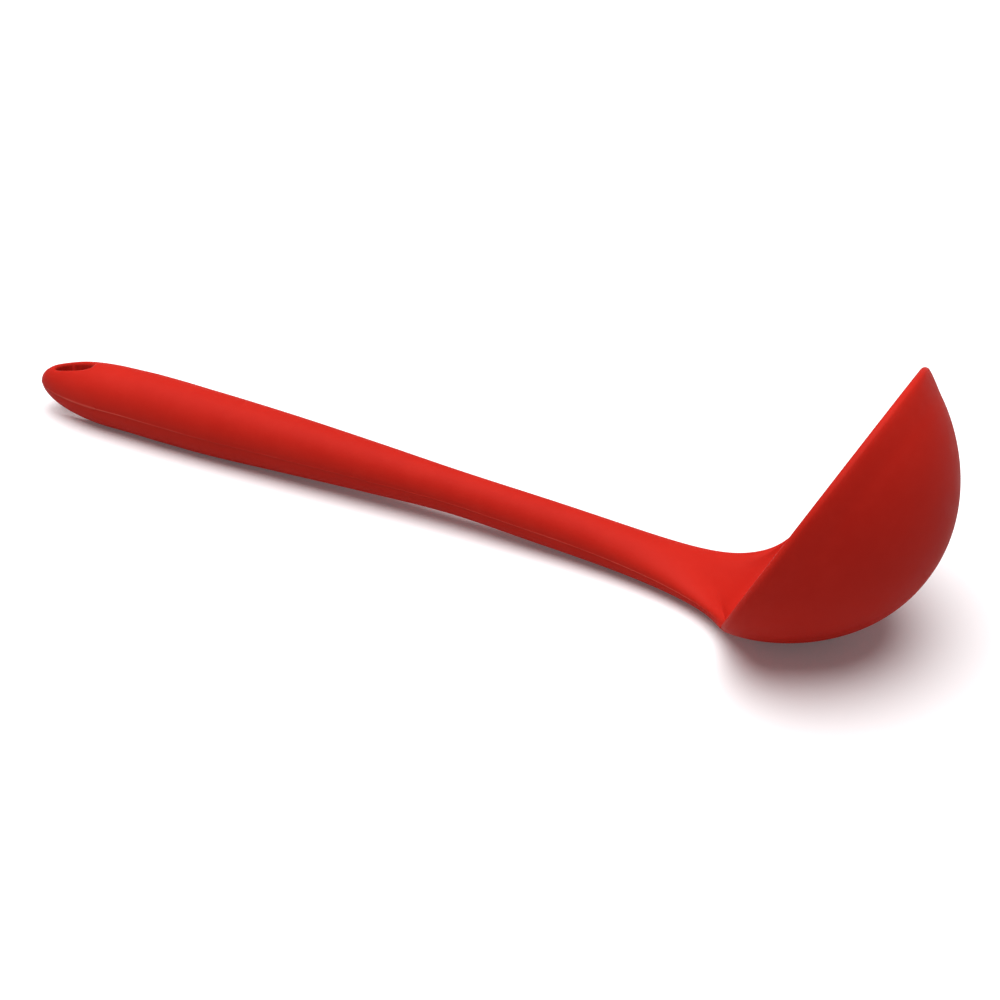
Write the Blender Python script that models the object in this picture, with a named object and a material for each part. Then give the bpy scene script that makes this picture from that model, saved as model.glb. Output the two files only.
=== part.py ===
"""One-piece silicone soup ladle: red silicone skins moulded over a nylon core and a steel stiffener.

The ladle lies on its back. +X runs from the end of the handle to the bowl, Y is across, +Z is up,
and the table is Z = 0. The whole outer shape is one sheet, made of the bowl, the neck and the
handle, with a thickness to each side. The edge of that sheet is the parting line of the mould.
"""

from math import cos, pi, radians, sin

import bmesh
import bpy
import numpy as np

# Bowl, in metres: the middle of its wall is a surface of revolution about the rim's axis.
RIM_RADIUS = 0.04235
RIM_TILT = radians(62.7)
BOWL_DEPTH = 0.03397
BOWL_ROUND_POWER = 2.05
BOWL_DEPTH_POWER = 1.42
HALF_WALL = 0.0013
LIP_GROWTH = 0.0014
LIP_REACH = 0.008
LIP_POWER = 1.3
LIP_START = radians(70)

# Neck: it joins the rim over this half angle and runs this far back to the handle.
FLARE_ANGLE = radians(36.85)
NECK_HEIGHT = 0.00283
NECK_LENGTH = 0.062
EDGE_SWEEP = 7.3
EDGE_PULL = 0.0478
MIDDLE_RISE = radians(3.9)
MIDDLE_PULL = 0.0190
HANDLE_PULL = 0.1290
NECK_RISE_START = 0.07
NECK_ROUND_SHARE = 0.45
RIM_BLEND = 0.3

# Handle: X along it, and half width, half height and clearance under it at each station.
STATION_X = (-0.062, -0.092, -0.120, -0.148, -0.180, -0.202, -0.218, -0.230)
STATION_HALF_WIDTH = (0.0063, 0.0062, 0.0073, 0.0085, 0.0095, 0.0095, 0.0088, 0.0064)
STATION_CLEARANCE = (0.0019, 0.0035, 0.0027, 0.0014, 0.0, 0.0001, 0.0004, 0.0027)
HEIGHT_TO_WIDTH = 1.06
SECTION_POWER = 2.0
END_X = -0.2394
END_ROUND = 0.0306
END_PLAN_POWER = 2.0
END_SIDE_POWER = 2.0

# Hanging hole, through the end of the handle.
HOLE_X = -0.2268
HOLE_HALF_LENGTH = 0.0070
HOLE_HALF_WIDTH = 0.0024
HOLE_POWER = 2.4
HOLE_FILLET = 0.0017
HOLE_REGION_X = -0.213

# Inside: gaps, the nylon core and the steel stiffener.
GAP = 0.0003
CORE_HALF_THICKNESS = 0.0004
CORE_RIM_MARGIN = 3
CORE_COLUMN_MARGIN = 3
TONGUE_ROWS = 2
TONGUE_TOP = 0.0018
TONGUE_BOTTOM = 0.0002
TONGUE_START = 0.4
TONGUE_BLEND = 0.3
STRIP_TOP = -0.0002
STRIP_BOTTOM = -0.0018
STRIP_COLUMN_MARGIN = 5
STRIP_FIRST_ROW = 8
PERFORATION_RADIUS = 0.0019
PERFORATION_RINGS = (3, 6)
PERFORATION_STEP = 4
PEG_RADIUS = 0.0010
PEG_HOLE_RADIUS = 0.0014
PEG_SIDES = 12
PEG_ROOT = 0.0010

# Mesh density.
NECK_COLUMNS = 14
FREE_COLUMNS = 30
RINGS = 12
NECK_ROWS = 10
HANDLE_ROWS = 12
END_ARC = 14
HOLE_LAYERS = 6
RING_CROWDING = 1.3
ROW_CROWDING = 1.25
CURVE_SAMPLES = 2000
HOLE_SAMPLES = 500
SLOPE_STEP = 0.001
LEAST_WIDTH = 1e-6

# Colours, and how far the ladle moves along X so that its box is centred.
SILICONE_RED = (0.56, 0.022, 0.014)
NYLON_GREY = (0.09, 0.09, 0.10)
STEEL_GREY = (0.55, 0.55, 0.56)
SHIFT_X = 0.0920083

RIM_UP = np.array([cos(RIM_TILT), 0.0, sin(RIM_TILT)])
RIM_AXIS = np.array([-sin(RIM_TILT), 0.0, cos(RIM_TILT)])
ACROSS = np.array([0.0, 1.0, 0.0])
UPWARDS = np.array([0.0, 0.0, 1.0])
RIM_CENTRE = np.array([0.0, 0.0, NECK_HEIGHT]) + RIM_RADIUS * RIM_UP


def unit(vectors):
    return vectors / np.linalg.norm(vectors, axis=-1)[..., None]


def ease(share):
    share = np.clip(share, 0.0, 1.0)
    return share * share * (3.0 - 2.0 * share)


def rounded(distance, radius, power=2.0):
    """Height share of an edge rounded over this radius, at this distance in from the edge."""
    inwards = np.clip(distance / radius, 0.0, 1.0)
    return np.maximum(1.0 - (1.0 - inwards) ** power, 0.0) ** (1.0 / power)


def through_stations(values, x):
    """A smooth curve through the handle's stations."""
    places = np.array(STATION_X[::-1])
    heights = np.array(values[::-1])
    slopes = np.gradient(heights, places)
    x = np.clip(x, places[0], places[-1])
    left = np.clip(np.searchsorted(places, x) - 1, 0, len(places) - 2)
    span = places[left + 1] - places[left]
    s = (x - places[left]) / span
    start = (2 * s**3 - 3 * s**2 + 1) * heights[left] + (s**3 - 2 * s**2 + s) * span * slopes[left]
    end = (3 * s**2 - 2 * s**3) * heights[left + 1] + (s**3 - s**2) * span * slopes[left + 1]
    return start + end


def end_taper(x, power):
    """1 along the handle, falling to 0 round its rounded end."""
    past = np.clip((END_X + END_ROUND - x) / END_ROUND, 0.0, 1.0)
    return (1.0 - past**2) ** (1.0 / power)


def half_width(x):
    full = through_stations(STATION_HALF_WIDTH, np.maximum(x, END_X + END_ROUND))
    return full * end_taper(x, END_PLAN_POWER)


def half_height(x):
    full = HEIGHT_TO_WIDTH * through_stations(STATION_HALF_WIDTH, np.maximum(x, END_X + END_ROUND))
    return full * end_taper(x, END_SIDE_POWER)


def centre_height(x):
    resting = HEIGHT_TO_WIDTH * through_stations(STATION_HALF_WIDTH, x)
    return resting + np.maximum(through_stations(STATION_CLEARANCE, x), 0.0)


def radial(angle):
    """Direction from the rim's centre to the rim. Angle 0 is at the neck."""
    angle = np.asarray(angle)[..., None]
    return -np.cos(angle) * RIM_UP + np.sin(angle) * ACROSS


def wall_profile():
    """Radius, depth and length along the wall, from the bottom of the bowl to the rim."""
    angle = np.linspace(pi / 2, 0.0, CURVE_SAMPLES)
    radius = RIM_RADIUS * np.cos(angle) ** (2.0 / BOWL_ROUND_POWER)
    depth = BOWL_DEPTH * np.sin(angle) ** (2.0 / BOWL_DEPTH_POWER)
    steps = np.hypot(np.diff(radius), np.diff(depth))
    length = np.concatenate([[0.0], np.cumsum(steps)])
    return radius, depth, length


class Sheet:
    """The middle surface of the ladle, with a direction and a half thickness at each point."""

    def __init__(self):
        self.points = []
        self.directions = []
        self.halves = []
        self.faces = []

    def add(self, points, directions, halves):
        first = len(self.points)
        self.points.extend(points.reshape(-1, 3))
        self.directions.extend(np.broadcast_to(directions, points.shape).reshape(-1, 3))
        self.halves.extend(halves.reshape(-1))
        return first + np.arange(halves.size).reshape(halves.shape)

    def grid(self, index, wrap=False):
        """Faces between neighbouring rows and columns. Returns them as rows of faces."""
        rows, columns = index.shape
        made = []
        for i in range(rows - 1):
            row = []
            for j in range(columns if wrap else columns - 1):
                k = (j + 1) % columns
                row.append((index[i, j], index[i, k], index[i + 1, k], index[i + 1, j]))
            made.append(row)
            self.faces.extend(row)
        return made


def hermite(start, leaving, end, arriving, share):
    """A cubic from one point to another with a given slope at each."""
    share = share[:, None]
    near = (2 * share**3 - 3 * share**2 + 1) * start + (share**3 - 2 * share**2 + share) * leaving
    return near + (3 * share**2 - 2 * share**3) * end + (share**3 - share**2) * arriving


def neck_surface(columns):
    """Rows of the neck's middle surface, from the rim at row 0 to the handle at the last row.

    One curve runs along its middle and one along its edge, and the rows bend between them as the
    rim does.
    """
    back = -NECK_LENGTH
    widening = (half_width(back - SLOPE_STEP) - half_width(back)) / SLOPE_STEP
    rising = (centre_height(back - SLOPE_STEP) - centre_height(back)) / SLOPE_STEP
    share = np.linspace(0.0, 1.0, NECK_ROWS + 1) ** ROW_CROWDING
    leaving = MIDDLE_PULL * np.array([-cos(MIDDLE_RISE), 0.0, sin(MIDDLE_RISE)])
    end = np.array([back, 0.0, centre_height(back)])
    arriving = HANDLE_PULL * np.array([-1.0, 0.0, rising])
    middle = hermite(RIM_CENTRE + RIM_RADIUS * radial(0.0), leaving, end, arriving, share)
    along_rim = cos(FLARE_ANGLE) * ACROSS + sin(FLARE_ANGLE) * RIM_UP
    leaving = EDGE_PULL * unit(RIM_AXIS - EDGE_SWEEP * along_rim)
    end = np.array([back, half_width(back), centre_height(back)])
    arriving = HANDLE_PULL * np.array([-1.0, widening, rising])
    edge = hermite(RIM_CENTRE + RIM_RADIUS * radial(FLARE_ANGLE), leaving, end, arriving, share)
    angle = FLARE_ANGLE * columns
    bend = ((1.0 - np.cos(angle)) / (1.0 - cos(FLARE_ANGLE)))[:, None]
    surface = middle[:, None] + (edge - middle)[:, None] * bend
    straight = ease(share)[:, None]
    spread = (1.0 - straight) * np.sin(angle) / sin(FLARE_ANGLE) + straight * columns
    surface[..., 1] = edge[:, 1:2] * spread
    return surface, share


def neck_directions(surface, share, rim_directions):
    """Across the sheet: the bowl's own direction at the rim, then the neck's, then straight up."""
    own = unit(np.cross(np.gradient(surface, axis=1), np.gradient(surface, axis=0)))
    own = own * np.sign(own[..., 2:])
    from_rim = ease(share / RIM_BLEND)[:, None, None]
    to_handle = ease(share)[:, None, None]
    mixed = (1.0 - from_rim) * rim_directions + from_rim * own
    return unit((1.0 - to_handle) * unit(mixed) + to_handle * UPWARDS)


def neck_halves(surface, share):
    """As thin as the wall at the rim, and as tall and round as the handle where that starts."""
    start = NECK_RISE_START
    soft = (np.sqrt(share**2 + start**2) - start) / (np.sqrt(1.0 + start**2) - start)
    tall = HALF_WALL + (half_height(-NECK_LENGTH) - HALF_WALL) * soft * np.sqrt(3.0 - 2.0 * soft)
    steps = np.linalg.norm(np.diff(surface, axis=1), axis=2)
    along = np.concatenate([np.zeros((len(share), 1)), np.cumsum(steps, axis=1)], axis=1)
    edge = np.minimum(along, along[:, -1:] - along)
    radius = HALF_WALL + (along[:, -1] / 2 - HALF_WALL) * ease(share / NECK_ROUND_SHARE)
    return tall[:, None] * rounded(edge, radius[:, None], SECTION_POWER)


def bowl_surface(angles, free):
    """Rings of the bowl's middle surface from near its bottom to the rim, and its bottom point."""
    radius, depth, length = wall_profile()
    crowd = np.linspace(0.0, 1.0, RINGS + 1)[1:]
    place = length[-1] * (1.0 - (1.0 - crowd) ** RING_CROWDING)
    ring_radius = np.interp(place, length, radius)
    ring_depth = np.interp(place, length, depth)
    out = radial(angles)
    surface = RIM_CENTRE + ring_radius[:, None, None] * out - ring_depth[:, None, None] * RIM_AXIS
    widening = np.interp(place, length, np.gradient(radius, length))
    sinking = np.interp(place, length, np.gradient(depth, length))
    directions = unit(sinking[:, None, None] * out + widening[:, None, None] * RIM_AXIS)
    to_rim = (length[-1] - place)[:, None]
    from_neck = np.minimum(angles % (2 * pi), -angles % (2 * pi))
    near_rim = np.clip(1.0 - to_rim / LIP_REACH, 0.0, 1.0) ** LIP_POWER
    lip = LIP_GROWTH / 2 * near_rim * ease((from_neck - FLARE_ANGLE) / (LIP_START - FLARE_ANGLE))[None]
    surface = surface + lip[..., None] * out
    along_rim = RIM_RADIUS * np.maximum(FLARE_ANGLE - from_neck, 0.0)[None]
    edge = np.where(free, to_rim, np.hypot(to_rim, along_rim))
    return surface, directions, (HALF_WALL + lip) * rounded(edge, HALF_WALL + lip)


def handle_halves(x, y):
    """Half height of the handle above or below its middle, at this place in plan."""
    width = np.maximum(half_width(x), LEAST_WIDTH)
    across = np.clip(np.abs(y) / width, 0.0, 1.0)
    return half_height(x) * rounded(1.0 - across, 1.0, SECTION_POWER)


def hole_outline(angle):
    x = HOLE_X + HOLE_HALF_LENGTH * np.sign(np.cos(angle)) * np.abs(np.cos(angle)) ** (2 / HOLE_POWER)
    y = HOLE_HALF_WIDTH * np.sign(np.sin(angle)) * np.abs(np.sin(angle)) ** (2 / HOLE_POWER)
    return np.stack([x, y], -1)


def ladle_sheet():
    sheet = Sheet()
    columns = np.sin(np.linspace(-pi / 2, pi / 2, NECK_COLUMNS + 1))
    free_angles = np.linspace(FLARE_ANGLE, 2 * pi - FLARE_ANGLE, FREE_COLUMNS + 1)[1:-1]
    angles = np.concatenate([FLARE_ANGLE * columns, free_angles])
    is_free = np.arange(len(angles)) > NECK_COLUMNS
    is_free[[0, NECK_COLUMNS]] = True

    surface, directions, halves = bowl_surface(angles, is_free)
    sheet.rings = sheet.add(surface, directions, halves)
    bottom = RIM_CENTRE - BOWL_DEPTH * RIM_AXIS
    sheet.bottom = sheet.add(bottom[None, None], RIM_AXIS, np.array([[HALF_WALL]]))[0, 0]
    count = len(angles)
    for j in range(count):
        sheet.faces.append((sheet.bottom, sheet.rings[0, (j + 1) % count], sheet.rings[0, j]))
    sheet.bottom_faces = list(sheet.faces)
    sheet.bowl_faces = sheet.grid(sheet.rings, wrap=True)

    surface, share = neck_surface(columns)
    rim_directions = directions[-1, : NECK_COLUMNS + 1]
    directions = neck_directions(surface, share, rim_directions)
    halves = neck_halves(surface, share)
    rows = sheet.add(surface[1:], directions[1:], halves[1:])
    sheet.neck = np.concatenate([sheet.rings[-1:, : NECK_COLUMNS + 1], rows])
    sheet.neck_faces = sheet.grid(sheet.neck)
    sheet.neck_share = share

    x = np.linspace(-NECK_LENGTH, HOLE_REGION_X, HANDLE_ROWS + 1)[1:, None] + 0.0 * columns
    y = half_width(x) * columns
    surface = np.stack([x, y, centre_height(x)], -1)
    halves = half_height(x) * rounded(1.0 - np.abs(columns), 1.0, SECTION_POWER)
    rows = sheet.add(surface, UPWARDS, halves)
    sheet.handle = np.concatenate([sheet.neck[-1:], rows])
    sheet.handle_faces = sheet.grid(sheet.handle)
    add_hole_region(sheet, columns)
    return sheet


def add_hole_region(sheet, columns):
    """Rings round the hanging hole, from its edge out to the handle's last row and rounded end."""
    turn = np.linspace(0.0, pi, END_ARC + 1)[1:-1]
    length = HOLE_REGION_X - END_X
    arc_x = HOLE_REGION_X - length * np.sin(turn)
    side = np.sign(np.cos(turn))
    arc_y = side * half_width(arc_x)
    row_x = HOLE_REGION_X + 0.0 * columns
    row_y = half_width(row_x) * columns
    outer = np.stack([np.concatenate([row_x, arc_x]), np.concatenate([row_y, arc_y])], -1)
    bearing = np.arctan2(outer[:, 1] / HOLE_HALF_WIDTH, (outer[:, 0] - HOLE_X) / HOLE_HALF_LENGTH)
    inner = hole_outline(bearing)
    crowd = 0.5 - 0.5 * np.cos(np.linspace(0.0, pi, HOLE_LAYERS + 1))
    plan = inner + crowd[:-1, None, None] * (outer - inner)
    hole_edge = hole_outline(np.linspace(0.0, 2 * pi, HOLE_SAMPLES))
    from_hole = np.min(np.linalg.norm(plan[:, :, None] - hole_edge, axis=3), axis=2)
    fillet = HOLE_FILLET * (1.0 - rounded(from_hole, HOLE_FILLET))
    halves = np.maximum(handle_halves(plan[..., 0], plan[..., 1]) - fillet, 0.0)
    halves[0] = 0.0
    surface = np.concatenate([plan, centre_height(plan[..., :1])], -1)
    layers = sheet.add(surface, UPWARDS, halves)
    arc = np.stack([arc_x, arc_y, centre_height(arc_x)], -1)
    rim = sheet.add(arc[None], UPWARDS, np.zeros((1, len(arc_x))))[0]
    outline = np.concatenate([sheet.handle[-1], rim])
    sheet.grid(np.concatenate([outline[None], layers[::-1]]), wrap=True)


def new_material(name, colour, roughness, metallic=0.0):
    material = bpy.data.materials.new(name)
    material.use_nodes = True
    shader = material.node_tree.nodes["Principled BSDF"]
    shader.inputs["Base Color"].default_value = (*colour, 1.0)
    shader.inputs["Roughness"].default_value = roughness
    shader.inputs["Metallic"].default_value = metallic
    return material


def new_object(name, vertices, faces, material=None):
    """A closed mesh with its faces turned outwards. With no material it is a cutter."""
    mesh = bpy.data.meshes.new(name)
    shape = bmesh.new()
    corners = [shape.verts.new((v[0] + SHIFT_X, v[1], v[2])) for v in vertices]
    for face in faces:
        shape.faces.new([corners[i] for i in face])
    bmesh.ops.delete(shape, geom=[v for v in shape.verts if not v.link_faces], context="VERTS")
    bmesh.ops.recalc_face_normals(shape, faces=shape.faces)
    for face in shape.faces:
        face.smooth = True
    shape.to_mesh(mesh)
    shape.free()
    made = bpy.data.objects.new(name, mesh)
    bpy.context.collection.objects.link(made)
    if material:
        mesh.materials.append(material)
    else:
        made.hide_render = True
        made.display_type = "WIRE"
    return made


def open_edges(faces):
    """Edges on the boundary of a set of faces, in the direction their face runs."""
    uses = {}
    for face in faces:
        for a, b in zip(face, face[1:] + face[:1]):
            uses.setdefault(frozenset((a, b)), []).append((a, b))
    return [directed[0] for directed in uses.values() if len(directed) == 1]


def slab(name, sheet, faces, upper, lower, grow=0.0, shared_edge=False, material=None):
    """A solid between two offsets of part of the sheet. Grow pushes its side walls outwards."""
    points = np.array(sheet.points)
    directions = np.array(sheet.directions)
    edges = open_edges(faces)
    if grow:
        points = points + grow * edge_push(points, directions, edges)
    count = len(points)
    top = points + directions * upper[:, None]
    bottom = points + directions * lower[:, None]
    lift = 0 if shared_edge else count
    on_edge = {i for edge in edges for i in edge}
    under = [i if shared_edge and i in on_edge else i + count for i in range(count)]
    shell = [tuple(face) for face in faces]
    shell += [tuple(under[i] for i in reversed(face)) for face in faces]
    if lift:
        shell += [(b, a, a + count, b + count) for a, b in edges]
    return new_object(name, np.concatenate([top, bottom]), shell, material)


def edge_push(points, directions, edges):
    """For each boundary point, the direction that moves both its edges outwards by one unit."""
    pushes = {}
    for a, b in edges:
        middle = directions[a] + directions[b]
        outwards = unit(np.cross(points[b] - points[a], middle))
        pushes.setdefault(a, []).append(outwards)
        pushes.setdefault(b, []).append(outwards)
    result = np.zeros_like(points)
    for i, found in pushes.items():
        total = sum(found)
        result[i] = total * len(found) / (total @ total)
    return result


def with_hole(sheet, faces, centre, radius):
    """Replaces the four faces round one point by a ring of faces round an eight-sided hole."""
    outer = open_edges([face for face in faces if centre in face])
    kept = [face for face in faces if centre not in face]
    middle = np.array(sheet.points[centre])
    ring = {}
    for a, _ in outer:
        away = np.array(sheet.points[a]) - middle
        place = middle + radius * unit(away)
        here = sheet.add(place[None, None], sheet.directions[centre], np.array([[HALF_WALL]]))
        ring[a] = here[0, 0]
    return kept + [(a, b, ring[b], ring[a]) for a, b in outer]


def cut(target, cutter):
    modifier = target.modifiers.new("cut_" + cutter.name, "BOOLEAN")
    modifier.operation = "DIFFERENCE"
    modifier.solver = "EXACT"
    modifier.object = cutter


def core_faces(sheet):
    """The perforated bowl shell, the fan in the neck and the tongue in the handle."""
    middle = slice(CORE_COLUMN_MARGIN, NECK_COLUMNS - CORE_COLUMN_MARGIN)
    faces = list(sheet.bottom_faces)
    for i, row in enumerate(sheet.bowl_faces):
        faces += row if i < RINGS - 1 - CORE_RIM_MARGIN else row[middle]
    for row in sheet.neck_faces + sheet.handle_faces[:TONGUE_ROWS]:
        faces += row[middle]
    return faces


def perforated(sheet, faces):
    for offset, ring in enumerate(PERFORATION_RINGS):
        first = NECK_COLUMNS + 3 + offset * PERFORATION_STEP // 2
        for j in range(first, sheet.rings.shape[1] - 2, PERFORATION_STEP):
            faces = with_hole(sheet, faces, sheet.rings[ring, j], PERFORATION_RADIUS)
    return faces


def strip_faces(sheet):
    middle = slice(STRIP_COLUMN_MARGIN, NECK_COLUMNS - STRIP_COLUMN_MARGIN)
    faces = []
    for row in sheet.neck_faces[STRIP_FIRST_ROW:] + sheet.handle_faces[:-1]:
        faces += row[middle]
    return faces


def core_offsets(sheet):
    """Upper and lower face of the core: even in the bowl, and above the middle in the tongue."""
    share = np.zeros(len(sheet.points))
    for row, value in zip(sheet.neck, sheet.neck_share):
        share[row] = value
    share[sheet.handle] = 1.0
    mixed = ease((share - TONGUE_START) / TONGUE_BLEND)
    upper = CORE_HALF_THICKNESS + (TONGUE_TOP - CORE_HALF_THICKNESS) * mixed
    lower = -CORE_HALF_THICKNESS + (TONGUE_BOTTOM + CORE_HALF_THICKNESS) * mixed
    return upper, lower


def add_peg(core, sheet, index):
    """A round peg moulded under the tongue, joined to it well inside."""
    centre = np.array(sheet.points[index])
    height = PEG_ROOT - STRIP_BOTTOM
    mesh = bpy.data.meshes.new("peg")
    shape = bmesh.new()
    bmesh.ops.create_cone(
        shape, cap_ends=True, segments=PEG_SIDES, radius1=PEG_RADIUS, radius2=PEG_RADIUS, depth=height
    )
    place = centre + UPWARDS * (PEG_ROOT + STRIP_BOTTOM) / 2
    bmesh.ops.translate(shape, verts=shape.verts, vec=(place[0] + SHIFT_X, place[1], place[2]))
    shape.to_mesh(mesh)
    shape.free()
    peg = bpy.data.objects.new("peg", mesh)
    bpy.context.collection.objects.link(peg)
    peg.hide_render = True
    peg.display_type = "WIRE"
    modifier = core.modifiers.new("peg", "BOOLEAN")
    modifier.operation = "UNION"
    modifier.solver = "EXACT"
    modifier.object = peg


def build():
    for leftover in list(bpy.data.objects):
        bpy.data.objects.remove(leftover, do_unlink=True)

    silicone_front = new_material("silicone_front", SILICONE_RED, 0.45)
    silicone_back = new_material("silicone_back", SILICONE_RED, 0.45)
    nylon = new_material("nylon", NYLON_GREY, 0.55)
    steel = new_material("steel", STEEL_GREY, 0.35, 1.0)

    sheet = ladle_sheet()
    centre_column = NECK_COLUMNS // 2
    peg_points = (sheet.neck[NECK_ROWS - 1, centre_column], sheet.handle[1, centre_column])
    outer_faces = list(sheet.faces)

    strip = strip_faces(sheet)
    steel_faces = strip
    for point in peg_points:
        steel_faces = with_hole(sheet, steel_faces, point, PEG_HOLE_RADIUS)
    shell = perforated(sheet, core_faces(sheet))

    even = np.ones(len(sheet.points))
    outside = np.hypot(np.array(sheet.halves), GAP / 2)
    front = slab("skin_front", sheet, outer_faces, outside, GAP / 2 * even, 0.0, True, silicone_front)
    back = slab("skin_back", sheet, outer_faces, -GAP / 2 * even, -outside, 0.0, True, silicone_back)

    upper, lower = core_offsets(sheet)
    core = slab("bowl_core", sheet, shell, upper, lower, material=nylon)
    for point in peg_points:
        add_peg(core, sheet, point)
    slab("handle_strip", sheet, steel_faces, STRIP_TOP * even, STRIP_BOTTOM * even, material=steel)

    core_space = slab("core_space", sheet, shell, upper + GAP, lower - GAP, GAP)
    top, bottom = (STRIP_TOP + GAP) * even, (STRIP_BOTTOM - GAP) * even
    strip_space = slab("strip_space", sheet, strip, top, bottom, GAP)
    cut(front, core_space)
    cut(back, core_space)
    cut(back, strip_space)


build()
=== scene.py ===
"""Looks of the silicone soup ladle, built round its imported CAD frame.

+X runs from the end of the handle to the bowl, Y is across, +Z is up and the table is Z = 0.
"""

from math import cos, pi, radians, sin

import bpy
import numpy as np
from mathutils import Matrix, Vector

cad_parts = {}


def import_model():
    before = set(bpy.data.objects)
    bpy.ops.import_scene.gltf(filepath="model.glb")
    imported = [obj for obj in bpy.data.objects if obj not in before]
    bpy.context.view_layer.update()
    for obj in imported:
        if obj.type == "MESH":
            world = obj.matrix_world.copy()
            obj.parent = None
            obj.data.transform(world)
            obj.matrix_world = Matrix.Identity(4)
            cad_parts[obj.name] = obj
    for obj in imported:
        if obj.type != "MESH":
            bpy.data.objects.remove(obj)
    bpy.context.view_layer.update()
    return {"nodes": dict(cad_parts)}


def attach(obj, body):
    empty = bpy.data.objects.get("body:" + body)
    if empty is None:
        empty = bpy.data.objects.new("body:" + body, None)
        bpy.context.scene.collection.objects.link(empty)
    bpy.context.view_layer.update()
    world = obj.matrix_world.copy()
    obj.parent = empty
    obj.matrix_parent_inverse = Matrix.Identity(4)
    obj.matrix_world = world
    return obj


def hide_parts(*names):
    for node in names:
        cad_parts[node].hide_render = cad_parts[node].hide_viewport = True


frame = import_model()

# The ladle's dimensions, in metres. They are the CAD part's own.
RIM_RADIUS = 0.04235
RIM_TILT = radians(62.7)
BOWL_DEPTH = 0.03397
BOWL_ROUND_POWER = 2.05
BOWL_DEPTH_POWER = 1.42
HALF_WALL = 0.0013
LIP_GROWTH = 0.0014
LIP_REACH = 0.008
LIP_POWER = 1.3
LIP_START = radians(70)
FLARE_ANGLE = radians(36.85)
NECK_HEIGHT = 0.00283
NECK_LENGTH = 0.062
EDGE_SWEEP = 7.3
EDGE_PULL = 0.0478
MIDDLE_RISE = radians(3.9)
MIDDLE_PULL = 0.0190
HANDLE_PULL = 0.1290
NECK_RISE_START = 0.07
NECK_ROUND_SHARE = 0.45
RIM_BLEND = 0.3
STATION_X = (-0.062, -0.092, -0.120, -0.148, -0.180, -0.202, -0.218, -0.230)
STATION_HALF_WIDTH = (0.0063, 0.0062, 0.0073, 0.0085, 0.0095, 0.0095, 0.0088, 0.0064)
STATION_CLEARANCE = (0.0019, 0.0035, 0.0027, 0.0014, 0.0, 0.0001, 0.0004, 0.0027)
HEIGHT_TO_WIDTH = 1.06
SECTION_POWER = 2.0
END_X = -0.2394
END_ROUND = 0.0306
END_PLAN_POWER = 2.0
END_SIDE_POWER = 2.0
HOLE_X = -0.2268
HOLE_HALF_LENGTH = 0.0070
HOLE_HALF_WIDTH = 0.0024
HOLE_POWER = 2.4
HOLE_FILLET = 0.0017
HOLE_REGION_X = -0.213
SHIFT_X = 0.0920083

# How finely the skins are drawn.
NECK_COLUMNS = 120
FREE_COLUMNS = 220
WALL_RINGS = 56
EDGE_RINGS = 12
NECK_ROWS = 70
HANDLE_ROWS = 150
END_ARC = 60
HOLE_LAYERS = 34
ROW_CROWDING = 1.25
CURVE_SAMPLES = 4000
HOLE_SAMPLES = 500
SLOPE_STEP = 0.001
LEAST_WIDTH = 1e-6

# The inner face of each skin lies at this share of its thickness, on the outside of the core.
INNER_SHARE = 0.55

# Where a skin is thinner than this, its two faces meet at an edge.
THINNEST = 1e-9

# The parting line's ridge: its height, and the share of the neck over which it starts.
SEAM_HEIGHT = 0.0001
SEAM_START = 0.25

# Camera: it looks along this azimuth and down by this elevation.
VIEW_AZIMUTH = radians(27.97)
VIEW_ELEVATION = radians(32.15)
VIEW_DISTANCE = 0.688
VIEW_TARGET = Vector((-0.0767 + SHIFT_X, 0.0, 0.0117))
FOCAL_SHARE = 2.392
SENSOR = 36.0
NEAREST = 0.01
FARTHEST = 50.0

# Studio: the table, one large light, and a surround that is bright only to the camera.
TABLE_HALF_SIZE = 1.3
SHADOW_LIFT = 0.09
LIGHT_PLACE = Vector((-0.10, -0.01, 1.15))
LIGHT_SIZE = 1.7
LIGHT_WATTS = 28.0
SURROUND_LIGHT = 0.13
SURROUND_SEEN = 1.0

RIM_UP = np.array([cos(RIM_TILT), 0.0, sin(RIM_TILT)])
RIM_AXIS = np.array([-sin(RIM_TILT), 0.0, cos(RIM_TILT)])
ACROSS = np.array([0.0, 1.0, 0.0])
UPWARDS = np.array([0.0, 0.0, 1.0])
RIM_CENTRE = np.array([0.0, 0.0, NECK_HEIGHT]) + RIM_RADIUS * RIM_UP


def unit(vectors):
    return vectors / np.linalg.norm(vectors, axis=-1)[..., None]


def ease(share):
    share = np.clip(share, 0.0, 1.0)
    return share * share * (3.0 - 2.0 * share)


def rounded(distance, radius, power=2.0):
    """Height share of an edge rounded over this radius, at this distance in from the edge."""
    inwards = np.clip(distance / radius, 0.0, 1.0)
    return np.maximum(1.0 - (1.0 - inwards) ** power, 0.0) ** (1.0 / power)


def through_stations(values, x):
    """A smooth curve through the handle's stations."""
    places = np.array(STATION_X[::-1])
    heights = np.array(values[::-1])
    slopes = np.gradient(heights, places)
    x = np.clip(x, places[0], places[-1])
    left = np.clip(np.searchsorted(places, x) - 1, 0, len(places) - 2)
    span = places[left + 1] - places[left]
    s = (x - places[left]) / span
    start = (2 * s**3 - 3 * s**2 + 1) * heights[left] + (s**3 - 2 * s**2 + s) * span * slopes[left]
    end = (3 * s**2 - 2 * s**3) * heights[left + 1] + (s**3 - s**2) * span * slopes[left + 1]
    return start + end


def end_taper(x, power):
    """1 along the handle, falling to 0 round its rounded end."""
    past = np.clip((END_X + END_ROUND - x) / END_ROUND, 0.0, 1.0)
    return (1.0 - past**2) ** (1.0 / power)


def half_width(x):
    full = through_stations(STATION_HALF_WIDTH, np.maximum(x, END_X + END_ROUND))
    return full * end_taper(x, END_PLAN_POWER)


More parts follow.
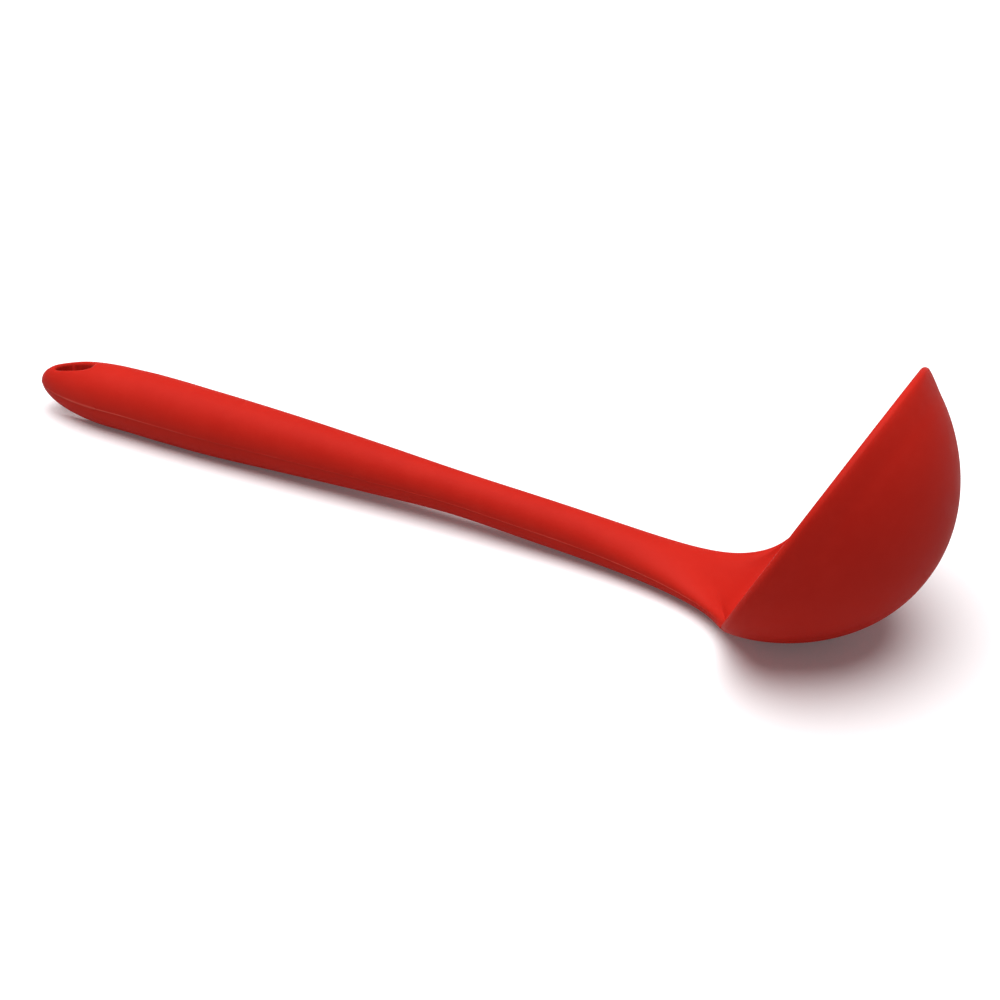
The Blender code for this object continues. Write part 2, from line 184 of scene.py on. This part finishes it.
def half_height(x):
    full = HEIGHT_TO_WIDTH * through_stations(STATION_HALF_WIDTH, np.maximum(x, END_X + END_ROUND))
    return full * end_taper(x, END_SIDE_POWER)


def centre_height(x):
    resting = HEIGHT_TO_WIDTH * through_stations(STATION_HALF_WIDTH, x)
    return resting + np.maximum(through_stations(STATION_CLEARANCE, x), 0.0)


def radial(angle):
    """Direction from the rim's centre to the rim. Angle 0 is at the neck."""
    angle = np.asarray(angle)[..., None]
    return -np.cos(angle) * RIM_UP + np.sin(angle) * ACROSS


def wall_profile():
    """Radius, depth and length along the wall, from the bottom of the bowl to the rim."""
    angle = np.linspace(pi / 2, 0.0, CURVE_SAMPLES)
    radius = RIM_RADIUS * np.cos(angle) ** (2.0 / BOWL_ROUND_POWER)
    depth = BOWL_DEPTH * np.sin(angle) ** (2.0 / BOWL_DEPTH_POWER)
    steps = np.hypot(np.diff(radius), np.diff(depth))
    length = np.concatenate([[0.0], np.cumsum(steps)])
    return radius, depth, length


class Sheet:
    """The middle surface of the ladle, with a direction and a half thickness at each point."""

    def __init__(self):
        self.points = []
        self.directions = []
        self.halves = []
        self.seams = []
        self.quads = []
        self.triangles = []
        self.count = 0

    def add(self, points, directions, halves, seam=0.0):
        """Adds points, each with how far the parting line's ridge stands out there."""
        index = self.count + np.arange(halves.size).reshape(halves.shape)
        self.count += halves.size
        self.points.append(points.reshape(-1, 3))
        self.directions.append(np.broadcast_to(directions, points.shape).reshape(-1, 3))
        self.halves.append(halves.reshape(-1))
        self.seams.append(np.broadcast_to(seam, halves.shape).reshape(-1))
        return index

    def grid(self, index, wrap=False):
        if wrap:
            index = np.concatenate([index, index[:, :1]], axis=1)
        corners = (index[:-1, :-1], index[:-1, 1:], index[1:, 1:], index[1:, :-1])
        self.quads.append(np.stack(corners, -1).reshape(-1, 4))


def hermite(start, leaving, end, arriving, share):
    """A cubic from one point to another with a given slope at each."""
    share = share[:, None]
    near = (2 * share**3 - 3 * share**2 + 1) * start + (share**3 - 2 * share**2 + share) * leaving
    return near + (3 * share**2 - 2 * share**3) * end + (share**3 - share**2) * arriving


def neck_surface(columns):
    """Rows of the neck's middle surface, from the rim at row 0 to the handle at the last row.

    One curve runs along its middle and one along its edge, and the rows bend between them as the
    rim does.
    """
    back = -NECK_LENGTH
    widening = (half_width(back - SLOPE_STEP) - half_width(back)) / SLOPE_STEP
    rising = (centre_height(back - SLOPE_STEP) - centre_height(back)) / SLOPE_STEP
    share = np.linspace(0.0, 1.0, NECK_ROWS + 1) ** ROW_CROWDING
    leaving = MIDDLE_PULL * np.array([-cos(MIDDLE_RISE), 0.0, sin(MIDDLE_RISE)])
    end = np.array([back, 0.0, centre_height(back)])
    arriving = HANDLE_PULL * np.array([-1.0, 0.0, rising])
    middle = hermite(RIM_CENTRE + RIM_RADIUS * radial(0.0), leaving, end, arriving, share)
    along_rim = cos(FLARE_ANGLE) * ACROSS + sin(FLARE_ANGLE) * RIM_UP
    leaving = EDGE_PULL * unit(RIM_AXIS - EDGE_SWEEP * along_rim)
    end = np.array([back, half_width(back), centre_height(back)])
    arriving = HANDLE_PULL * np.array([-1.0, widening, rising])
    edge = hermite(RIM_CENTRE + RIM_RADIUS * radial(FLARE_ANGLE), leaving, end, arriving, share)
    angle = FLARE_ANGLE * columns
    bend = ((1.0 - np.cos(angle)) / (1.0 - cos(FLARE_ANGLE)))[:, None]
    surface = middle[:, None] + (edge - middle)[:, None] * bend
    straight = ease(share)[:, None]
    spread = (1.0 - straight) * np.sin(angle) / sin(FLARE_ANGLE) + straight * columns
    surface[..., 1] = edge[:, 1:2] * spread
    return surface, share


def neck_directions(surface, share, rim_directions):
    """Across the sheet: the bowl's own direction at the rim, then the neck's, then straight up."""
    own = unit(np.cross(np.gradient(surface, axis=1), np.gradient(surface, axis=0)))
    own = own * np.sign(own[..., 2:])
    from_rim = ease(share / RIM_BLEND)[:, None, None]
    to_handle = ease(share)[:, None, None]
    mixed = (1.0 - from_rim) * rim_directions + from_rim * own
    return unit((1.0 - to_handle) * unit(mixed) + to_handle * UPWARDS)


def neck_halves(surface, share):
    """As thin as the wall at the rim, and as tall and round as the handle where that starts."""
    start = NECK_RISE_START
    soft = (np.sqrt(share**2 + start**2) - start) / (np.sqrt(1.0 + start**2) - start)
    tall = HALF_WALL + (half_height(-NECK_LENGTH) - HALF_WALL) * soft * np.sqrt(3.0 - 2.0 * soft)
    steps = np.linalg.norm(np.diff(surface, axis=1), axis=2)
    along = np.concatenate([np.zeros((len(share), 1)), np.cumsum(steps, axis=1)], axis=1)
    edge = np.minimum(along, along[:, -1:] - along)
    radius = HALF_WALL + (along[:, -1] / 2 - HALF_WALL) * ease(share / NECK_ROUND_SHARE)
    return tall[:, None] * rounded(edge, radius[:, None], SECTION_POWER)


def add_rows(sheet, surface, directions, halves, share):
    """Rows with the parting line's fine ridge along the first and the last column."""
    seam = np.zeros(halves.shape)
    for edge, next_in in ((0, 1), (-1, -2)):
        outwards = unit(surface[:, edge] - surface[:, next_in])
        seam[:, edge] = ease(share / SEAM_START)
        surface[:, edge] += SEAM_HEIGHT * seam[:, edge, None] * outwards
    return sheet.add(surface, directions, halves, seam)


def bowl_surface(angles, free):
    """Rings of the bowl's middle surface from near its bottom to the rim."""
    radius, depth, length = wall_profile()
    wall = np.linspace(0.0, length[-1] - HALF_WALL, WALL_RINGS + 1)[1:]
    turn = np.linspace(0.0, pi / 2, EDGE_RINGS + 1)[1:]
    place = np.concatenate([wall, length[-1] - HALF_WALL * (1.0 - np.sin(turn))])
    ring_radius = np.interp(place, length, radius)
    ring_depth = np.interp(place, length, depth)
    out = radial(angles)
    surface = RIM_CENTRE + ring_radius[:, None, None] * out - ring_depth[:, None, None] * RIM_AXIS
    widening = np.interp(place, length, np.gradient(radius, length))
    sinking = np.interp(place, length, np.gradient(depth, length))
    directions = unit(sinking[:, None, None] * out + widening[:, None, None] * RIM_AXIS)
    to_rim = (length[-1] - place)[:, None]
    from_neck = np.minimum(angles % (2 * pi), -angles % (2 * pi))
    near_rim = np.clip(1.0 - to_rim / LIP_REACH, 0.0, 1.0) ** LIP_POWER
    lip = LIP_GROWTH / 2 * near_rim * ease((from_neck - FLARE_ANGLE) / (LIP_START - FLARE_ANGLE))[None]
    surface = surface + lip[..., None] * out
    along_rim = RIM_RADIUS * np.maximum(FLARE_ANGLE - from_neck, 0.0)[None]
    edge = np.where(free, to_rim, np.hypot(to_rim, along_rim))
    return surface, directions, (HALF_WALL + lip) * rounded(edge, HALF_WALL + lip)


def handle_halves(x, y):
    """Half height of the handle above or below its middle, at this place in plan."""
    width = np.maximum(half_width(x), LEAST_WIDTH)
    across = np.clip(np.abs(y) / width, 0.0, 1.0)
    return half_height(x) * rounded(1.0 - across, 1.0, SECTION_POWER)


def hole_outline(angle):
    x = HOLE_X + HOLE_HALF_LENGTH * np.sign(np.cos(angle)) * np.abs(np.cos(angle)) ** (2 / HOLE_POWER)
    y = HOLE_HALF_WIDTH * np.sign(np.sin(angle)) * np.abs(np.sin(angle)) ** (2 / HOLE_POWER)
    return np.stack([x, y], -1)


def add_hole_region(sheet, columns, last_row):
    """Rings round the hanging hole, from its edge out to the handle's last row and rounded end."""
    turn = np.linspace(0.0, pi, END_ARC + 1)[1:-1]
    arc_x = HOLE_REGION_X - (HOLE_REGION_X - END_X) * np.sin(turn)
    arc_y = np.sign(np.cos(turn)) * half_width(arc_x)
    row_x = HOLE_REGION_X + 0.0 * columns
    row_y = half_width(row_x) * columns
    outer = np.stack([np.concatenate([row_x, arc_x]), np.concatenate([row_y, arc_y])], -1)
    bearing = np.arctan2(outer[:, 1] / HOLE_HALF_WIDTH, (outer[:, 0] - HOLE_X) / HOLE_HALF_LENGTH)
    inner = hole_outline(bearing)
    crowd = 0.5 - 0.5 * np.cos(np.linspace(0.0, pi, HOLE_LAYERS + 1))
    plan = inner + crowd[:-1, None, None] * (outer - inner)
    hole_edge = hole_outline(np.linspace(0.0, 2 * pi, HOLE_SAMPLES))
    from_hole = np.min(np.linalg.norm(plan[:, :, None] - hole_edge, axis=3), axis=2)
    fillet = HOLE_FILLET * (1.0 - rounded(from_hole, HOLE_FILLET))
    halves = np.maximum(handle_halves(plan[..., 0], plan[..., 1]) - fillet, 0.0)
    halves[0] = 0.0
    surface = np.concatenate([plan, centre_height(plan[..., :1])], -1)
    layers = sheet.add(surface, UPWARDS, halves)
    along = unit(np.gradient(outer[len(columns):], axis=0))
    arc_x, arc_y = arc_x + SEAM_HEIGHT * along[:, 1], arc_y - SEAM_HEIGHT * along[:, 0]
    arc = np.stack([arc_x, arc_y, centre_height(arc_x)], -1)
    rim = sheet.add(arc[None], UPWARDS, np.zeros((1, len(arc_x))), 1.0)[0]
    outline = np.concatenate([last_row, rim])
    sheet.grid(np.concatenate([outline[None], layers[::-1]]), wrap=True)


def ladle_sheet():
    sheet = Sheet()
    columns = np.sin(np.linspace(-pi / 2, pi / 2, NECK_COLUMNS + 1))
    free_angles = np.linspace(FLARE_ANGLE, 2 * pi - FLARE_ANGLE, FREE_COLUMNS + 1)[1:-1]
    angles = np.concatenate([FLARE_ANGLE * columns, free_angles])
    is_free = np.arange(len(angles)) > NECK_COLUMNS
    is_free[[0, NECK_COLUMNS]] = True

    surface, directions, halves = bowl_surface(angles, is_free)
    rings = sheet.add(surface, directions, halves)
    bottom = RIM_CENTRE - BOWL_DEPTH * RIM_AXIS
    tip = sheet.add(bottom[None, None], RIM_AXIS, np.array([[HALF_WALL]]))[0, 0]
    following = np.roll(rings[0], -1)
    sheet.triangles.append(np.stack([np.full_like(following, tip), following, rings[0]], -1))
    sheet.grid(rings, wrap=True)

    surface, share = neck_surface(columns)
    directions = neck_directions(surface, share, directions[-1, : NECK_COLUMNS + 1])
    halves = neck_halves(surface, share)
    rows = add_rows(sheet, surface[1:], directions[1:], halves[1:], share[1:])
    neck = np.concatenate([rings[-1:, : NECK_COLUMNS + 1], rows])
    sheet.grid(neck)

    x = np.linspace(-NECK_LENGTH, HOLE_REGION_X, HANDLE_ROWS + 1)[1:, None] + 0.0 * columns
    y = half_width(x) * columns
    surface = np.stack([x, y, centre_height(x)], -1)
    halves = half_height(x) * rounded(1.0 - np.abs(columns), 1.0, SECTION_POWER)
    rows = add_rows(sheet, surface, UPWARDS, halves, np.ones(len(x)))
    sheet.grid(np.concatenate([neck[-1:], rows]))
    add_hole_region(sheet, columns, rows[-1])
    return sheet


def skin(name, sheet, side, material):
    """One closed skin: the outer face on this side of the sheet and an inner face that clears the core."""
    points = np.concatenate(sheet.points)
    directions = np.concatenate(sheet.directions)
    halves = np.concatenate(sheet.halves)
    quads = np.concatenate(sheet.quads)
    triangles = np.concatenate(sheet.triangles)
    halves = np.where(halves < THINNEST, 0.0, halves)
    outer = points + side * directions * halves[:, None]
    inner = points + side * directions * (INNER_SHARE * halves)[:, None]
    outer[:, 0] += SHIFT_X
    inner[:, 0] += SHIFT_X
    edge = halves == 0.0
    under = np.where(edge, np.arange(len(points)), np.arange(len(points)) + len(points))
    quads_under, triangles_under = under[quads][:, ::-1], under[triangles][:, ::-1]
    loops = [quads, quads_under, triangles, triangles_under]
    if side < 0:
        loops = [part[:, ::-1] for part in loops]
    mesh = bpy.data.meshes.new(name)
    vertices = np.concatenate([outer, inner])
    mesh.from_pydata(vertices.tolist(), [], [face for part in loops for face in part.tolist()])
    seam = mesh.attributes.new("seam", "FLOAT", "POINT")
    seam.data.foreach_set("value", np.tile(np.concatenate(sheet.seams), 2))
    ends = np.empty(2 * len(mesh.edges), dtype=np.int32)
    mesh.edges.foreach_get("vertices", ends)
    on_edge = np.concatenate([edge, edge])[ends.reshape(-1, 2)].all(axis=1)
    mesh.edges.foreach_set("use_edge_sharp", on_edge)
    mesh.polygons.foreach_set("use_smooth", np.ones(len(mesh.polygons), dtype=bool))
    piece = bpy.data.objects.new(name, mesh)
    bpy.context.collection.objects.link(piece)
    mesh.materials.append(material)
    return piece


class Nodes:
    """Short calls for building a node material."""

    def __init__(self, name):
        self.material = bpy.data.materials.new(name)
        self.material.use_nodes = True
        self.tree = self.material.node_tree
        self.shader = self.tree.nodes["Principled BSDF"]

    def add(self, kind, **settings):
        node = self.tree.nodes.new(kind)
        for key, value in settings.items():
            setattr(node, key, value)
        return node

    def link(self, output, target):
        self.tree.links.new(output, target)

    def feed(self, socket, value):
        """Links another node's output, or sets a plain number or colour."""
        if isinstance(value, bpy.types.NodeSocket):
            self.link(value, socket)
        else:
            socket.default_value = value

    def position(self):
        return self.add("ShaderNodeTexCoord").outputs["Object"]

    def noise(self, where, scale, detail=2.0, roughness=0.5, distortion=0.0):
        node = self.add("ShaderNodeTexNoise")
        node.inputs["Scale"].default_value = scale
        node.inputs["Detail"].default_value = detail
        node.inputs["Roughness"].default_value = roughness
        node.inputs["Distortion"].default_value = distortion
        self.link(where, node.inputs["Vector"])
        return node.outputs["Fac"]

    def span(self, value, low, high, to_low=0.0, to_high=1.0):
        node = self.add("ShaderNodeMapRange")
        node.inputs["From Min"].default_value = low
        node.inputs["From Max"].default_value = high
        node.inputs["To Min"].default_value = to_low
        node.inputs["To Max"].default_value = to_high
        self.link(value, node.inputs["Value"])
        return node.outputs["Result"]

    def maths(self, operation, first, second):
        node = self.add("ShaderNodeMath", operation=operation)
        for socket, value in zip(node.inputs, (first, second)):
            self.feed(socket, value)
        return node.outputs["Value"]

    def mix(self, share, first, second):
        node = self.add("ShaderNodeMix", data_type="RGBA")
        for socket, value in (("Factor", share), ("A", first), ("B", second)):
            self.feed(node.inputs[socket], value)
        return node.outputs["Result"]

    def bump(self, height, distance, strength=1.0, after=None):
        node = self.add("ShaderNodeBump")
        node.inputs["Strength"].default_value = strength
        node.inputs["Distance"].default_value = distance
        self.link(height, node.inputs["Height"])
        if after:
            self.link(after, node.inputs["Normal"])
        return node.outputs["Normal"]

    def set(self, **values):
        for key, value in values.items():
            self.shader.inputs[key.replace("_", " ")].default_value = value


def silicone():
    """Matt moulded silicone: spark-eroded grain, faint flow clouds, a few light specks of dust, and a
    painted highlight along the parting line.
    """
    made = Nodes("red_silicone")
    where = made.position()
    clouds = made.noise(where, 22.0, 3.0, 0.55)
    mottle = made.noise(where, 160.0, 4.0, 0.6)
    grain = made.noise(where, 2600.0, 2.0, 0.6)
    ripple = made.noise(where, 48.0, 2.0, 0.5)

    deep = (0.445, 0.0145, 0.0085, 1.0)
    bright = (0.495, 0.0180, 0.0105, 1.0)
    colour = made.mix(made.span(clouds, 0.3, 0.7), deep, bright)
    colour = made.mix(made.span(mottle, 0.45, 0.75, 0.0, 0.25), colour, (0.54, 0.026, 0.016, 1.0))

    cells = made.add("ShaderNodeTexVoronoi", feature="F1")
    cells.inputs["Scale"].default_value = 55.0
    cells.inputs["Randomness"].default_value = 1.0
    made.link(where, cells.inputs["Vector"])
    spot = made.span(cells.outputs["Distance"], 0.010, 0.017, 1.0, 0.0)
    chosen = made.add("ShaderNodeSeparateColor")
    made.link(cells.outputs["Color"], chosen.inputs["Color"])
    rare = made.span(chosen.outputs["Red"], 0.93, 0.935)
    dust = made.maths("MULTIPLY", spot, rare)
    colour = made.mix(dust, colour, (0.72, 0.52, 0.48, 1.0))
    # The ridge along the parting line is real geometry; its lighter colour is a painted highlight, patchy
    # with the flow clouds.
    seam = made.add("ShaderNodeAttribute", attribute_name="seam").outputs["Fac"]
    painted_seam_highlight = made.maths("MULTIPLY", seam, made.span(clouds, 0.44, 0.62, 0.03, 0.40))
    colour = made.mix(painted_seam_highlight, colour, (0.80, 0.16, 0.12, 1.0))
    made.link(colour, made.shader.inputs["Base Color"])

    broad = made.span(mottle, 0.3, 0.7, 0.47, 0.55)
    fine = made.span(grain, 0.3, 0.7, -0.03, 0.03)
    made.link(made.maths("ADD", broad, fine), made.shader.inputs["Roughness"])
    normal = made.bump(ripple, 0.00025, 0.5)
    normal = made.bump(mottle, 0.00004, 0.6, normal)
    normal = made.bump(grain, 0.00003, 0.7, normal)
    made.link(normal, made.shader.inputs["Normal"])
    made.set(
        IOR=1.41,
        Specular_IOR_Level=0.05,
        Subsurface_Weight=0.10,
        Subsurface_Radius=(0.0030, 0.0006, 0.0004),
        Subsurface_Scale=0.5,
    )
    return made.material


def nylon():
    """Glass-filled nylon: dark, with short pale fibres at the surface and a fine grain."""
    made = Nodes("glass_filled_nylon")
    where = made.position()
    fibres = made.noise(where, 900.0, 3.0, 0.7, 2.0)
    clouds = made.noise(where, 60.0, 3.0)
    colour = made.mix(made.span(clouds, 0.3, 0.7), (0.055, 0.056, 0.060, 1.0), (0.080, 0.081, 0.085, 1.0))
    colour = made.mix(made.span(fibres, 0.62, 0.72, 0.0, 0.5), colour, (0.30, 0.30, 0.30, 1.0))
    made.link(colour, made.shader.inputs["Base Color"])
    made.link(made.span(clouds, 0.3, 0.7, 0.45, 0.6), made.shader.inputs["Roughness"])
    made.link(made.bump(fibres, 0.00005, 0.6), made.shader.inputs["Normal"])
    return made.material


def steel():
    """Stainless strip, rolled along its length."""
    made = Nodes("rolled_steel")
    where = made.position()
    stretch = made.add("ShaderNodeMapping")
    stretch.inputs["Scale"].default_value = (0.02, 1.0, 1.0)
    made.link(where, stretch.inputs["Vector"])
    lines = made.noise(stretch.outputs["Vector"], 6000.0, 3.0, 0.7)
    colour = made.mix(made.span(lines, 0.3, 0.7), (0.50, 0.50, 0.51, 1.0), (0.62, 0.62, 0.63, 1.0))
    made.link(colour, made.shader.inputs["Base Color"])
    made.link(made.span(lines, 0.3, 0.7, 0.28, 0.42), made.shader.inputs["Roughness"])
    made.link(made.bump(lines, 0.00001, 0.5), made.shader.inputs["Normal"])
    made.set(Metallic=1.0)
    return made.material


def give_material(node, material):
    slots = frame["nodes"][node].data.materials
    slots.clear()
    slots.append(material)


def table():
    """A pale table under the ladle. To the camera it is paler, with slightly lifted shadows."""
    mesh = bpy.data.meshes.new("table")
    size = TABLE_HALF_SIZE
    corners = [(-size, -size, 0), (size, -size, 0), (size, size, 0), (-size, size, 0)]
    mesh.from_pydata(corners, [], [(0, 1, 2, 3)])
    floor = bpy.data.objects.new("table", mesh)
    bpy.context.collection.objects.link(floor)
    made = Nodes("pale_table")
    seen = made.add("ShaderNodeLightPath").outputs["Is Camera Ray"]
    colour = made.mix(seen, (0.58, 0.58, 0.58, 1.0), (0.93, 0.93, 0.94, 1.0))
    made.link(colour, made.shader.inputs["Base Color"])
    made.link(made.maths("MULTIPLY", seen, SHADOW_LIFT), made.shader.inputs["Emission Strength"])
    made.set(Roughness=0.8, Specular_IOR_Level=0.1, Emission_Color=(1.0, 0.72, 0.75, 1.0))
    mesh.materials.append(made.material)
    return floor


def overhead_light():
    """One large round light above the ladle, aimed at the middle of the table."""
    data = bpy.data.lights.new("overhead", "AREA")
    data.shape = "DISK"
    data.size = LIGHT_SIZE
    data.energy = LIGHT_WATTS
    lamp = bpy.data.objects.new("overhead", data)
    bpy.context.collection.objects.link(lamp)
    lamp.location = LIGHT_PLACE
    lamp.rotation_euler = (-LIGHT_PLACE).to_track_quat("-Z", "Y").to_euler()


def camera():
    towards = Vector((
        -cos(VIEW_ELEVATION) * sin(VIEW_AZIMUTH),
        cos(VIEW_ELEVATION) * cos(VIEW_AZIMUTH),
        -sin(VIEW_ELEVATION),
    ))
    data = bpy.data.cameras.new("camera")
    data.sensor_width = SENSOR
    data.lens = FOCAL_SHARE * SENSOR
    data.clip_start = NEAREST
    data.clip_end = FARTHEST
    made = bpy.data.objects.new("camera", data)
    bpy.context.collection.objects.link(made)
    made.location = VIEW_TARGET - VIEW_DISTANCE * towards
    made.rotation_euler = towards.to_track_quat("-Z", "Y").to_euler()
    bpy.context.scene.camera = made


def world():
    """A white surround that lights the ladle only weakly."""
    made = bpy.data.worlds.new("studio")
    bpy.context.scene.world = made
    made.use_nodes = True
    nodes = made.node_tree.nodes
    sky = nodes["Background"]
    sky.inputs["Color"].default_value = (1.0, 1.0, 1.0, 1.0)
    strength = nodes.new("ShaderNodeMapRange")
    strength.inputs["To Min"].default_value = SURROUND_LIGHT
    strength.inputs["To Max"].default_value = SURROUND_SEEN
    seen = nodes.new("ShaderNodeLightPath").outputs["Is Camera Ray"]
    made.node_tree.links.new(seen, strength.inputs["Value"])
    made.node_tree.links.new(strength.outputs["Result"], sky.inputs["Strength"])


red = silicone()
sheet = ladle_sheet()
front = skin("silicone_skin_front", sheet, 1.0, red)
back = skin("silicone_skin_back", sheet, -1.0, red)
for piece, node, slot in ((front, "skin_front", "silicone_front"), (back, "skin_back", "silicone_back")):
    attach(piece, "root")
    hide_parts(node)
give_material("bowl_core", nylon())
give_material("handle_strip", steel())

table()
world()
overhead_light()
camera()
bpy.context.scene.view_settings.view_transform = "Standard"
